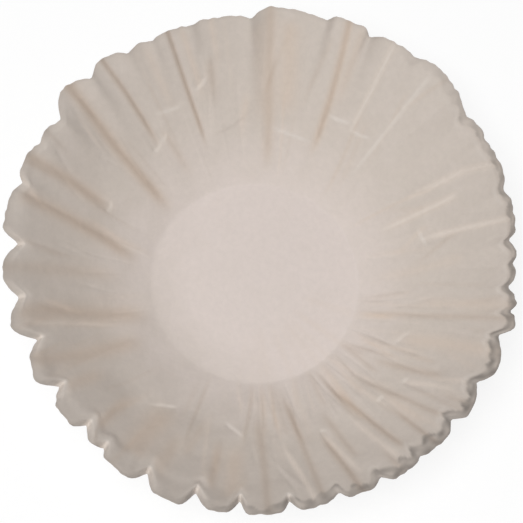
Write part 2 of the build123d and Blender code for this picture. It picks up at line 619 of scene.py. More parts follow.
    def lip_turn(self, bearing: Array) -> Array:
        """Work out how far the lip turns over outward.

        Args:
            bearing: Bearings in degrees.

        Returns:
            The turn at each, in degrees.
        """
        blend = self.flare.lip_blend
        notch = self.around_rim(bearing, [(lip.bearing, lip.notch) for lip in self.lips], blend)
        crest = self.around_rim(bearing, [(lip.bearing, lip.crest) for lip in self.lips], blend)
        return crest + (notch - crest) * (1 - self.crestness(bearing)) ** self.flare.lip_spread

    def turned_out(self, bearing: Array, share: Array) -> Array:
        """Work out how far the wall's top flares out and its lip turns over.

        Args:
            bearing: Bearings in degrees.
            share: The share of the wall's length at the same points.

        Returns:
            The turn off the wall's slope, in radians.
        """
        top = self.flare
        flare = top.wall_turn * ramp(share, *top.wall_bend) + top.rim_turn * ramp(share, *top.rim_bend)
        lip = self.lip_turn(bearing) * ramp(share, *top.lip_bend)
        return np.radians(flare * facing(bearing, top.faces) + lip)

    def edge_shade(self, bearing: Array, share: Array) -> tuple[Array, Array]:
        """Work out the ragged band of painted shade along the cut edge.

        Args:
            bearing: Bearings in degrees.
            share: The share of the wall's length at the same points.

        Returns:
            How grey the paper is, then how pale the soft fold that borders the band is, from 0 to 1.
        """
        shade_band = self.rim_shade
        notched, way = 1 - self.crestness(bearing), self.rim_way(bearing)
        side = nearness(bearing, shade_band.centre, shade_band.reach) ** shade_band.fall
        turns_at, turns_over = shade_band.gains_from
        in_notch = shade_band.notch_gain * ease(around(bearing, turns_at) / turns_over) - shade_band.notch_loss
        deep = shade_band.depth + shade_band.more_depth * nearness(bearing, *shade_band.deepest)
        deep = deep * (1 + notched * in_notch)
        ragged = shade_band.ragged * deep * crumple(way, 0 * way, *shade_band.ragged_waves)
        above = share - (1 - shade_band.border * deep + ragged)
        patches = shade_band.patch_grey * crumple(way, share * WALL_MM, *shade_band.patch_waves)
        patchy = shade_band.grey + shade_band.notch_grey * notched + patches
        grey = side * np.clip(patchy, shade_band.least_grey, 1) * ease(above / (shade_band.border_soft * deep))
        near = nearness(bearing, shade_band.centre, shade_band.edge_reach)
        near = shade_band.edge_all_round + (1 - shade_band.edge_all_round) * near
        edge = shade_band.edge_grey * near * ramp(share, *shade_band.edge_band)
        # The painted highlight sits where a soft fold would border the band.
        fold = bell((above + shade_band.highlight_below) / shade_band.highlight_half)
        return np.maximum(grey, edge), shade_band.border_highlight * side * notched**shade_band.highlight_fade * fold

    def rim_way(self, bearing: Array) -> Array:
        """The way round the rim to each bearing, in millimetres."""
        return np.radians(bearing) * self.rim_radius

    def pressed(self, bearing: Array, share: Array, radius: Array) -> tuple[Array, ...]:
        """Work out what the creases, the wrinkles and the buckles do to the wall.

        Args:
            bearing: Bearings in degrees.
            share: The share of the wall's length at the same points.
            radius: The distance from the axis at the same points, in millimetres.

        Returns:
            How far the paper moves out along its normal, in millimetres, then how much painted
            highlight it gets and how much warm painted shade it gets along a fold, both from 0 to 1.
        """
        out, pale, fold_shade = np.zeros((3, *bearing.shape))
        for crease in self.creases + self.wrinkles.creases():
            moved, highlit, fold_shaded = crease.marks(bearing, share, radius)
            out += moved
            pale += highlit
            fold_shade += fold_shaded
        for buckle in self.buckles:
            moved, highlit = buckle.marks(bearing, share)
            out += moved
            pale += highlit
        return out, pale, np.clip(fold_shade, 0, 1)

    def crumpled(self, bearing: Array, share: Array, radius: Array) -> Array:
        """Work out the wall's unevenness, which the flat base doesn't have.

        Args:
            bearing: Bearings in degrees.
            share: The share of the wall's length at the same points.
            radius: The distance from the axis at the same points, in millimetres.

        Returns:
            How far the paper moves out along its normal, in millimetres.
        """
        x, y = radius * np.cos(np.radians(bearing)), radius * np.sin(np.radians(bearing))
        out = np.zeros_like(share)
        for shortest, longest, degrees in self.crumples:
            out += np.tan(np.radians(degrees)) * crumple(x, y, shortest, longest)
        return out * ramp(share, 0, self.crumpled_by)

    def view_lean(self, bearing: Array) -> Array:
        """How far out a point moves in the view that the rim was read in, for each unit of height."""
        return np.tan(np.radians(self.read_from)) * np.sin(np.radians(bearing))

    def early(self, bearing: Array, along: Array) -> Array:
        """How far the base has begun to rise inside the crease, from 0 to 1 at the crease."""
        return facing(bearing, self.rises_at) * np.clip(1 + along / self.early_way, 0, 1)

    def run(self, slope: Array, along: Array) -> tuple[Array, Array]:
        """Follow the paper outward by its slope.

        Args:
            slope: The slope in radians, in rows going outward and columns by bearing.
            along: The way along the paper at the same points.

        Returns:
            The radius and the height at the same points.
        """
        step, mean = np.diff(along, axis=0), (slope[1:] + slope[:-1]) / 2
        start = np.zeros((1, self.columns))
        radius = np.vstack([start, np.cumsum(np.cos(mean) * step, axis=0)])
        height = np.vstack([start, np.cumsum(np.sin(mean) * step, axis=0)])
        return radius + self.base_diameter / 2 - self.early_way, height

    def kept_rows(self, before: int) -> Array:
        """Pick the fine steps that become rows of the mesh.

        Args:
            before: How many steps there are before those of the wall.

        Returns:
            Their numbers, from inside the crease to the rim.
        """
        (early_end, early_rows), (bend_start, bend_rows) = self.early_rows, self.crease_rows
        inner = np.r_[
            np.linspace(-self.early_way, early_end, early_rows),
            np.linspace(bend_start, self.crease_end, bend_rows),
        ]
        bands = zip(((0.0, 0),) + self.row_bands, self.row_bands)
        shares = [np.linspace(low, high, rows + 1)[1:] for (low, _), (high, rows) in bands]
        outer = before - 1 + np.concatenate(shares) * self.wall_steps
        return np.r_[(inner + self.early_way) * self.fine_steps, outer].astype(int)

    def profile(self, bearing: Array) -> tuple[Array, ...]:
        """Follow the sheet outward before its flutes: flat, then over the crease and up the wall.

        Args:
            bearing: The bearing of each column.

        Returns:
            The way along the paper from the crease, the radius, the height and the wall's slope in
            radians, each in rows from inside the crease to the rim and columns by bearing, then how
            much farther out the rim is seen than that of a wall that keeps its slope.
        """
        wall, fine, bend_end = self.wall_length(bearing), self.fine_steps, self.crease_end
        steps = np.arange(-self.early_way * fine, bend_end * fine + 1)[:, None]
        before = steps / fine * np.ones(self.columns)
        after = bend_end + np.linspace(0, 1, self.wall_steps + 1)[1:, None] * (wall - bend_end)
        along = np.vstack([before, after])
        share = np.clip(along / wall, 0, 1)
        crease, rim = np.radians(self.crease_slope), self.slope_at_rim(bearing)
        slope = np.radians(self.early_rise) * self.early(bearing, along)
        slope = slope + (crease + share * (rim - crease) - slope) * ramp(along, *self.crease_bend)
        radius, height = self.run(slope - self.turned_out(bearing, share), along)
        bend = wall / (rim - crease)
        out = radius[-1] - self.base_diameter / 2 - bend * (np.sin(rim) - np.sin(crease))
        up = height[-1] - bend * (np.cos(crease) - np.cos(rim))
        seen = out + self.view_lean(bearing) * up
        rows = self.kept_rows(len(before))
        return along[rows], radius[rows], height[rows], slope[rows], seen

    def drawn_in(self, bearing: Array, share: Array, only_edge: Array, seen: Array) -> Array:
        """Work out how far the last part of the wall is drawn along itself, and how the edge frays.

        The rim was read from the front and above, where a move along the wall shows more at the
        back than a move across it, and less at the front.

        Args:
            bearing: The bearing of each column.
            share: The share of the wall's length, in rows and columns.
            only_edge: The part of the flutes' offset that is only in the cut edge.
            seen: How much farther out the rim is seen than that of a wall that keeps its slope.

        Returns:
            How far each point moves out, in millimetres seen from above.
        """
        rim, lean = self.slope_at_rim(bearing), self.view_lean(bearing)
        drawn = (only_edge * (1 - lean / np.tan(rim)) - seen) / (1 + lean * np.tan(rim))
        fray = self.frayed * crumple(self.rim_way(bearing), 0 * bearing, *self.frayed_waves)
        return drawn * climb(share, *self.drawn_from) + fray * climb(share, *self.frayed_from)

    def tones(self, bearing: Array, share: Array, along: Array, pale: Array) -> tuple[Array, ...]:
        """Work out the painted highlight and shade on the paper, apart from the warm painted shade
        along folds.

        Args:
            bearing: Bearings in degrees.
            share: The share of the wall's length at the same points.
            along: The way along the paper from the crease, in millimetres.
            pale: How much painted highlight the creases get.

        Returns:
            How much painted highlight, painted shade up the wall and painted shade at the edge there is
            at each point, from 0 to 1.
        """
        edge_shade, bordered = self.edge_shade(bearing, share)
        rim = facing(bearing, self.flare.faces) * ramp(share, *self.rim_highlight_from)
        bent = np.clip(self.lip_turn(bearing) / self.flare.full_lip, 0, 1)
        lip = bent * bell((share - self.flare.lip_bend[0]) * WALL_MM / self.lip_highlight_half)
        # Painted highlight on creases and buckles, at the rim on one side, on the bent lip and below
        # the edge's band.
        rubbed = np.clip(pale + self.rim_highlight * rim + self.lip_highlight * lip + bordered, 0, 1)
        # Painted shade at the crease round the base, up the wall, and where the base rises early at one
        # side.
        at_crease = self.base_edge_shade * ramp(along, *self.base_edge_shade_over)
        up_wall = at_crease + self.wall_shade * climb(along, 0, self.wall_shade_by)
        return rubbed, np.maximum(self.early_shade * self.early(bearing, along), up_wall), edge_shade

    def surface(self) -> tuple[Array, dict[Mark, Array]]:
        """Work out the underside of the sheet.

        Returns:
            Points in millimetres, in rows from the centre to the rim and columns by bearing, and the
            paper's marks at each, from 0 to 1.
        """
        bearing = np.arange(self.columns) * 360.0 / self.columns
        along, radius, height, slope, seen = self.profile(bearing)
        share = np.clip(along / self.wall_length(bearing), 0, 1)
        turns, rim = bearing * np.ones_like(share), self.slope_at_rim(bearing)
        flutes, (growth, only_edge) = self.flute_offset(turns, share), self.flute_growth(turns, share)
        drawn = self.drawn_in(bearing, share, only_edge * flutes, seen)
        radius, height = radius + drawn, height + drawn * np.tan(slope)
        pressed, pale, fold_shade = self.pressed(turns, share, radius)
        out = (1 - only_edge) * flutes / np.sin(rim) * growth
        out += pressed * ramp(share, 0, self.pressed_by) + self.crumpled(turns, share, radius)
        radius, height = radius + out * np.sin(slope), height - out * np.cos(slope)
        centre = self.base_diameter / 2 - self.early_way
        rings = np.linspace(0, centre, self.base_rings + 1)[1:-1, None] * np.ones(self.columns)
        radius, height = np.vstack([rings, radius]), np.vstack([0 * rings, height])
        rubbed, crepe_shade, edge_shade = self.tones(turns, share, along, pale)
        marks = {Mark.HIGHLIGHT: rubbed, Mark.FOLD_SHADE: fold_shade, Mark.CREPE_SHADE: crepe_shade, Mark.EDGE_SHADE: edge_shade}
        marks = {mark: np.vstack([0 * rings, amount]) for mark, amount in marks.items()}
        east, north = np.cos(np.radians(bearing)), np.sin(np.radians(bearing))
        return np.stack([radius * east, radius * north, height], -1), marks

    def inside(self, under: Array) -> Array:
        """Work out the inner face of the sheet.

        Args:
            under: The points of the underside, in rows and columns.

        Returns:
            The same points moved by the paper's thickness along the normal.
        """
        outward = np.gradient(under, axis=0)
        onward = np.roll(under, -1, axis=1) - np.roll(under, 1, axis=1)
        normal = np.cross(outward, onward)
        normal /= np.linalg.norm(normal, axis=-1, keepdims=True)
        normal *= np.sign(normal[..., 2:3])
        return under + normal * self.thickness

    def stitch(self, skins: tuple[Array, Array]) -> tuple[Array, list[list[int]], set[frozenset[int]]]:
        """Join the two faces of the sheet into one closed skin, along the cut edge.

        Args:
            skins: The points of the underside and of the inner face, in rows and columns.

        Returns:
            All points, with one more in the middle of each face, then the polygons by the points'
            numbers, and the sharp edges along the cut.
        """
        points, faces, edges = [], [], []
        for skin in skins:
            index = len(np.concatenate(points)) if points else 0
            index = index + np.arange(skin[..., 0].size).reshape(skin.shape[:2])
            onward, hub = np.roll(index, -1, axis=1), index[-1, -1] + 1
            quads = np.stack([index[:-1], onward[:-1], onward[1:], index[1:]], -1).reshape(-1, 4)
            fans = np.stack([np.full(self.columns, hub), onward[0], index[0]], -1)
            turn = 1 if not points else -1
            faces += quads[:, ::turn].tolist() + fans[:, ::turn].tolist()
            points += [skin.reshape(-1, 3), [[0, 0, skin[0, 0, 2]]]]
            edges.append((index[-1], onward[-1]))
        (low, low_next), (high, high_next) = edges
        faces += np.stack([low, low_next, high_next, high], -1).tolist()
        sharp = {frozenset(pair) for side in edges for pair in zip(*(part.tolist() for part in side))}
        return np.concatenate(points), faces, sharp

    def build(self) -> bpy.types.Object:
        """Build the closed sheet as one mesh.

        The underside is seen less, so it keeps every second row only, except near the cut edge.

        Returns:
            The sheet's object, linked to the scene.
        """
        under, marks = self.surface()
        rows = np.arange(len(under))
        fine_rows = self.row_bands[-1][1] + 1
        kept = np.unique(np.r_[rows[::2], rows[-fine_rows:]])
        points, faces, sharp = self.stitch((under[kept], self.inside(under)))
        mesh = bpy.data.meshes.new("filter_sheet")
        mesh.from_pydata((points * MM).tolist(), [], faces)
        mesh.validate()
        mesh.update()
        mesh.polygons.foreach_set("use_smooth", [True] * len(mesh.polygons))
        for mark, amount in marks.items():
            values = np.r_[amount[kept].ravel(), 0.0, amount.ravel(), 0.0].astype(np.float32)
            mesh.attributes.new(mark.value, "FLOAT", "POINT").data.foreach_set("value", values)
        for edge in mesh.edges:
            edge.use_edge_sharp = frozenset(edge.vertices) in sharp
        sheet = bpy.data.objects.new("filter_sheet", mesh)
        bpy.context.collection.objects.link(sheet)
        LOG.info("filter_sheet: %d points, %d faces", len(mesh.vertices), len(faces))
        return sheet

    def dress(self, sheet: bpy.types.Object, paper: "FilterPaper") -> None:
        """Args:
            sheet: The built sheet.
            paper: The paper's finish.
        """
        sheet.data.materials.append(paper.build())
        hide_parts(NODE)
        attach(sheet, "root")


@dataclass(frozen=True)
class FilterPaper:
    """Bleached filter paper with a fine crepe, unsized: soft, matt and slightly warm, with short
    fibres.

    The base is pressed smooth and the wall keeps its crepe. Painted shade makes the wall slightly
    darker and warmer than the base, and the base too where it rises early at one side. Warmer painted
    shade lies along the folds of stepped creases. Painted highlight makes the hard creases, the
    buckles, the bent lip and the rim at one side paler, and painted shade greys a ragged band along
    the cut edge.
    """

    # Colours: the smooth base, then what each mark turns the paper to in full: painted shade up the
    # wall, warm painted shade along folds, painted highlight, and painted shade at the edge.
    colour: str = "#D7CCC6"
    crepe_shade: str = "#CBC1B8"
    fold_shade: str = "#CDBBAB"
    rubbed: str = "#E3DCD5"
    edge_shade: str = "#8D8680"
    # Patterns by their size in millimetres. Real fibres are some hundredths of a millimetre across,
    # too fine to show, so they are drawn coarser here, as the flecks that they mat together to.
    cloud: float = 9.0
    mottle: float = 2.2
    crepe: float = 1.2
    fibre: float = 0.35
    mottle_twist: float = 0.3
    fibre_twist: float = 1.5
    noise_detail: float = 3.0
    noise_roughness: float = 0.6
    noise_middle: Span = (0.3, 0.7)
    # What the cloud adds to the crepe's tone, and what the mottle multiplies the colour by.
    cloud_adds: Span = (-0.15, 0.15)
    mottle_times: Span = (0.975, 1.025)
    grain_strength: float = 0.25
    grain_height: float = 0.05
    # Unsized paper has no gloss to speak of, only the soft bloom of its fibres seen aslant.
    roughness: float = 0.92
    specular: float = 0.25
    sheen: float = 0.1

    @staticmethod
    def mix(
        tree: bpy.types.NodeTree, factor: Value, first: Value, second: Value
    ) -> bpy.types.NodeSocket:
        """Mix two colours.

        Args:
            tree: The material's node tree.
            factor: How much of the second colour there is, from 0 to 1.
            first: The first colour.
            second: The second colour.

        Returns:
            The mixed colour's socket.
        """
        # The mix node has inputs for several types under the same names. These are the colours'.
        inputs, result = {0: factor, 6: first, 7: second}, 2
        return add_node(tree, "ShaderNodeMix", inputs, data_type="RGBA").outputs[result]

    def noise(
        self, tree: bpy.types.NodeTree, place: Value, size: float, twist: float = 0.0
    ) -> bpy.types.NodeSocket:
        """Add an irregular pattern that is fixed to the paper.

        Args:
            tree: The material's node tree.
            place: The socket with each point's place on the object.
            size: The pattern's size in millimetres.
            twist: How much its blots are drawn out and curled.

        Returns:
            The pattern's socket, from 0 to 1.
        """
        inputs = {
            "Vector": place,
            "Scale": 1 / (size * MM),
            "Detail": self.noise_detail,
            "Roughness": self.noise_roughness,
            "Distortion": twist,
        }
        return add_node(tree, "ShaderNodeTexNoise", inputs).outputs["Fac"]

    def spread(self, tree: bpy.types.NodeTree, pattern: Value, over: Span) -> bpy.types.NodeSocket:
        """Spread the middle of a pattern's range over another range.

        Args:
            tree: The material's node tree.
            pattern: The pattern's socket.
            over: The lowest and the highest value wanted.

        Returns:
            The spread pattern's socket.
        """
        (least, most), (low, high) = self.noise_middle, over
        inputs = {"Value": pattern, "From Min": least, "From Max": most, "To Min": low, "To Max": high}
        return add_node(tree, "ShaderNodeMapRange", inputs).outputs[0]

    def build(self) -> bpy.types.Material:
        """Build the paper's material.

        Returns:
            The material.
        """
        material = bpy.data.materials.new("bleached_filter_paper_creped")
        material.use_nodes = True
        tree = material.node_tree
        tree.nodes.clear()
        place = add_node(tree, "ShaderNodeTexCoord").outputs["Object"]
        cloud, crepe = self.noise(tree, place, self.cloud), self.noise(tree, place, self.crepe)
        mottle = self.noise(tree, place, self.mottle, self.mottle_twist)
        fibre = self.noise(tree, place, self.fibre, self.fibre_twist)
        colour = linear_colour(self.colour)
        tones = {
            Mark.CREPE_SHADE: self.crepe_shade,
            Mark.FOLD_SHADE: self.fold_shade,
            Mark.HIGHLIGHT: self.rubbed,
            Mark.EDGE_SHADE: self.edge_shade,
        }
        # Each mark mixes in a painted shade or a painted highlight.
        for mark, tone in tones.items():
            amount = add_node(tree, "ShaderNodeAttribute", attribute_name=mark.value).outputs["Fac"]
            if mark is Mark.CREPE_SHADE:
                # A cloud makes the painted shade up the wall stronger in some places, as slightly
                # cloudy pulp would.
                both = {0: amount, 1: self.spread(tree, cloud, self.cloud_adds)}
                amount = add_node(tree, "ShaderNodeMath", both, use_clamp=True).outputs[0]
            colour = self.mix(tree, amount, colour, linear_colour(tone))
        uneven = self.spread(tree, mottle, self.mottle_times)
        colour = add_node(tree, "ShaderNodeVectorMath", {0: colour, "Scale": uneven}, operation="SCALE")
        grain = add_node(tree, "ShaderNodeMath", {0: crepe, 1: fibre}, operation="ADD")
        height = {"Strength": self.grain_strength, "Distance": self.grain_height * MM}
        bump = add_node(tree, "ShaderNodeBump", {"Height": grain.outputs[0]} | height)
        paper = add_node(
            tree,
            "ShaderNodeBsdfPrincipled",
            {"Base Color": colour.outputs[0], "Roughness": self.roughness, "Normal": bump.outputs[0]},
        )
        paper.inputs["Specular IOR Level"].default_value = self.specular
        paper.inputs["Sheen Weight"].default_value = self.sheen
        add_node(tree, "ShaderNodeOutputMaterial", {"Surface": paper.outputs[0]})
        return material


@dataclass(frozen=True)
class WhiteBoard:
    """Matt painted board: plain white to the eye, with the filter's shade faint on it.

    Most of the tone that the camera sees is the board's own glow, so its white is even, and the
    rest is lit, so it keeps some of the shade. The glow itself lights nothing.
    """

    colour: str = "#FFFFFF"
    glow: float = 0.85

    def build(self) -> bpy.types.Material:
        """Build the board's material.

        Returns:
            The material.
        """
        material = bpy.data.materials.new("matt_white_board")
        material.use_nodes = True
        tree = material.node_tree
        tree.nodes.clear()
        white = {"Color": linear_colour(self.colour)}
        board = add_node(tree, "ShaderNodeBsdfDiffuse", white).outputs[0]
        glow = add_node(tree, "ShaderNodeEmission", white | {"Strength": 1.0}).outputs[0]
        path = add_node(tree, "ShaderNodeLightPath")
        seen = path.outputs["Is Camera Ray"]
        for ray in ("Is Glossy Ray", "Is Transmission Ray"):
            pair = {0: seen, 1: path.outputs[ray]}
            seen = add_node(tree, "ShaderNodeMath", pair, operation="MAXIMUM").outputs[0]
        share = add_node(tree, "ShaderNodeMath", {0: seen, 1: self.glow}, operation="MULTIPLY")
        shaders = {0: share.outputs[0], 1: board, 2: glow}
        mix = add_node(tree, "ShaderNodeMixShader", shaders).outputs[0]
        add_node(tree, "ShaderNodeOutputMaterial", {"Surface": mix})
        return material


@dataclass
class Studio:
    """The pale floor, the soft light and the camera at the photograph's angle.

    The floor's size, the lamp's and all distances are in metres, and angles are degrees. The key's
    strength is how bright it makes white paper that faces it, where 1 shows as white. The camera
    stands in front, at its elevation and this far aside to the left, and its view is the width
    that it takes in. The pixels are where the photograph has the middle of the base, and its width.
    """

    floor_size: float = 6.0
    floor_below: float = 0.0001
    world_strength: float = 0.04
    key_strength: float = 0.985
    key_tilt: float = 15.0
    key_bearing: float = 225.0
    key_distance: float = 1.5
    key_size: float = 0.9
    camera_distance: float = 0.600
    camera_elevation: float = 72.94
    camera_aside: float = 1.41
    camera_view: float = 18.955
    base_centre_px: Span = (254.5, 282.7)
    image_px: float = 523.0

    def build(self) -> None:
        """Set the floor, the lights, the camera and the colour handling."""
        self.build_floor(WhiteBoard())
        self.build_world()
        self.build_lamp()
        self.build_camera()
        bpy.context.scene.view_settings.view_transform = "Standard"
        LOG.info("studio: floor, surround, lamp and camera")

    def build_floor(self, board: WhiteBoard) -> None:
        """Lay a large pale floor that shows white and keeps a faint shadow.

        Args:
            board: The floor's finish.
        """
        bpy.ops.mesh.primitive_plane_add(size=self.floor_size, location=(0, 0, -self.floor_below))
        floor = bpy.context.object
        floor.name = "floor"
        floor.data.materials.append(board.build())

    def build_world(self) -> None:
        """Put an even surround about it all: white to the camera, and dim as a light."""
        world = bpy.data.worlds.new("pale_surround")
        world.use_nodes = True
        bpy.context.scene.world = world
        tree = world.node_tree
        tree.nodes.clear()
        white = {"Color": (1.0, 1.0, 1.0, 1.0)}
        path = add_node(tree, "ShaderNodeLightPath").outputs["Is Camera Ray"]
        lit = add_node(tree, "ShaderNodeBackground", white | {"Strength": self.world_strength})
        behind = add_node(tree, "ShaderNodeBackground", white | {"Strength": 1.0})
        mix = add_node(tree, "ShaderNodeMixShader", {0: path, 1: lit.outputs[0], 2: behind.outputs[0]})
        add_node(tree, "ShaderNodeOutputWorld", {"Surface": mix.outputs[0]})

    def build_lamp(self) -> None:
        """Hang one large soft lamp nearly overhead, facing the filter."""
        lamp = bpy.data.lights.new("soft_lamp", "AREA")
        lamp.shape = "DISK"
        lamp.size = self.key_size
        # A lamp of this many watts lights what faces it, at its distance, with the key's strength.
        lamp.energy = self.key_strength * (np.pi * self.key_distance) ** 2
        holder = bpy.data.objects.new("soft_lamp", lamp)
        bpy.context.collection.objects.link(holder)
        tilt, bearing = np.radians(self.key_tilt), np.radians(self.key_bearing)
        towards = Vector((np.sin(tilt) * np.cos(bearing), np.sin(tilt) * np.sin(bearing), np.cos(tilt)))
        holder.location = towards * self.key_distance
        holder.rotation_euler = towards.to_track_quat("Z", "Y").to_euler()

    def build_camera(self) -> None:
        """Place the camera so that the base lands where the photograph has it, with +Y upward."""
        camera = bpy.data.cameras.new("camera")
        camera.sensor_fit = "HORIZONTAL"
        camera.angle = np.radians(self.camera_view)
        holder = bpy.data.objects.new("camera", camera)
        bpy.context.collection.objects.link(holder)
        aside, low = np.sin(np.radians(self.camera_aside)), np.cos(np.radians(self.camera_elevation))
        back = Vector((-aside, -low, (1 - aside**2 - low**2) ** 0.5))
        right = Vector((0, 1, 0)).cross(back).normalized()
        up = back.cross(right)
        half = self.image_px / 2
        scale = self.camera_distance * np.tan(np.radians(self.camera_view) / 2) / half
        left, down = half - self.base_centre_px[0], self.base_centre_px[1] - half
        place = back * self.camera_distance + right * left * scale + up * down * scale
        turn = Matrix((right, up, back)).transposed().to_4x4()
        holder.matrix_world = Matrix.Translation(place) @ turn
        bpy.context.scene.camera = holder


DEEP, MIDDLE, SHORT, RIM = Reach
RIDGE, GROOVE, STEP_IN, STEP_OUT = Press

# The flutes, anticlockwise from +X, read off the photograph's outline.
FLUTES = (
    Flute((4.0, -4.25), (5.5, -1.5), (12.5, -0.75), SHORT),
    Flute((15.5, -3.0), (19.0, -0.75), (22.5, -0.25), SHORT),
    Flute((28.5, -1.5), (30.5, 0.0), (33.0, -1.25), SHORT),
    Flute((35.0, -3.0), (47.5, 5.25), (48.5, 5.25), MIDDLE),
    Flute((53.5, 1.25), (55.5, 3.0), (61.0, 2.5), MIDDLE),
    Flute((64.0, -2.75), (65.5, 3.0), (72.5, 4.5), SHORT),
    Flute((74.0, -0.75), (84.5, 3.0), (87.8, 2.75), DEEP),
    Flute((91.5, -6.25), (94.0, -2.75), (103.0, -2.0), DEEP),
    Flute((105.0, -4.0), (110.0, -2.5), (113.5, -3.0), MIDDLE),
    Flute((115.0, -4.5), (117.5, -2.25), (119.0, -2.5), MIDDLE),
    Flute((121.5, -3.75), (125.0, 1.0), (129.0, 1.75), SHORT),
    Flute((132.0, -3.0), (138.0, 3.5), (139.5, 3.75), MIDDLE),
    Flute((144.5, -4.25), (149.5, -1.25), (151.0, -1.5), SHORT),
    Flute((152.0, -2.25), (156.5, 0.75), (161.0, 1.0), SHORT),
    Flute((162.5, -1.5), (166.5, 1.25), (175.0, 1.75), SHORT),
    Flute((176.5, -3.75), (183.0, 1.0), (187.5, 1.25), RIM),
    Flute((190.0, -2.5), (196.0, 0.75), (199.0, 1.25), RIM),
    Flute((200.7, -4.5), (206.0, -0.75), (212.0, 0.75), RIM),
    Flute((213.7, -4.0), (218.5, -0.75), (224.5, -0.5), RIM),
    Flute((225.5, -3.0), (229.5, -1.0), (231.0, -1.0), RIM),
    Flute((232.5, -1.75), (234.5, -0.5), (241.5, 0.5), RIM),
    Flute((244.0, -2.5), (247.5, 0.5), (254.0, 0.75), RIM),
    Flute((256.0, -2.5), (259.5, 0.25), (264.0, 0.25), RIM),
    Flute((266.5, -2.5), (268.0, 0.25), (275.5, -0.25), RIM),
    Flute((277.5, -2.25), (279.5, -0.25), (285.5, -0.5), RIM),
    Flute((289.0, -1.75), (290.0, 0.0), (296.0, -0.25), RIM),
    Flute((298.5, -1.5), (300.5, 0.5), (306.5, 0.25), RIM),
    Flute((308.0, -0.5), (309.5, 0.25), (316.0, 0.0), RIM),
    Flute((319.0, -2.0), (321.0, 0.5), (324.0, 0.25), RIM),
    Flute((329.5, -2.25), (332.0, 0.5), (335.5, 0.25), RIM),
    Flute((341.5, -2.5), (343.0, 1.25), (346.0, 0.25), RIM),
    Flute((347.0, -1.75), (348.5, 0.0), (349.5, -0.5), RIM),
    Flute((353.0, -3.25), (355.0, -1.5), (356.5, -1.5), RIM),
    Flute((358.5, -2.75), (359.5, -1.5), (361.0, -1.5), RIM),
)

# How the lip turns over, read off its bright and dark side.
LIPS = (
    Lip(25.0, -10.0, -15.0),
    Lip(40.0, 0.0, 0.0),
    Lip(128.0, 0.0, 0.0),
    Lip(145.0, 12.0, 0.0),
    Lip(163.0, 25.0, 0.0),
    Lip(177.0, 44.0, 2.0),
    Lip(200.0, 52.0, 2.0),
    Lip(240.0, 56.0, 2.0),
    Lip(268.0, 55.0, 0.0),
    Lip(280.0, 45.0, 0.0),
    Lip(292.0, 20.0, 0.0),
    Lip(335.0, 10.0, -5.0),
    Lip(350.0, 0.0, -15.0),
)

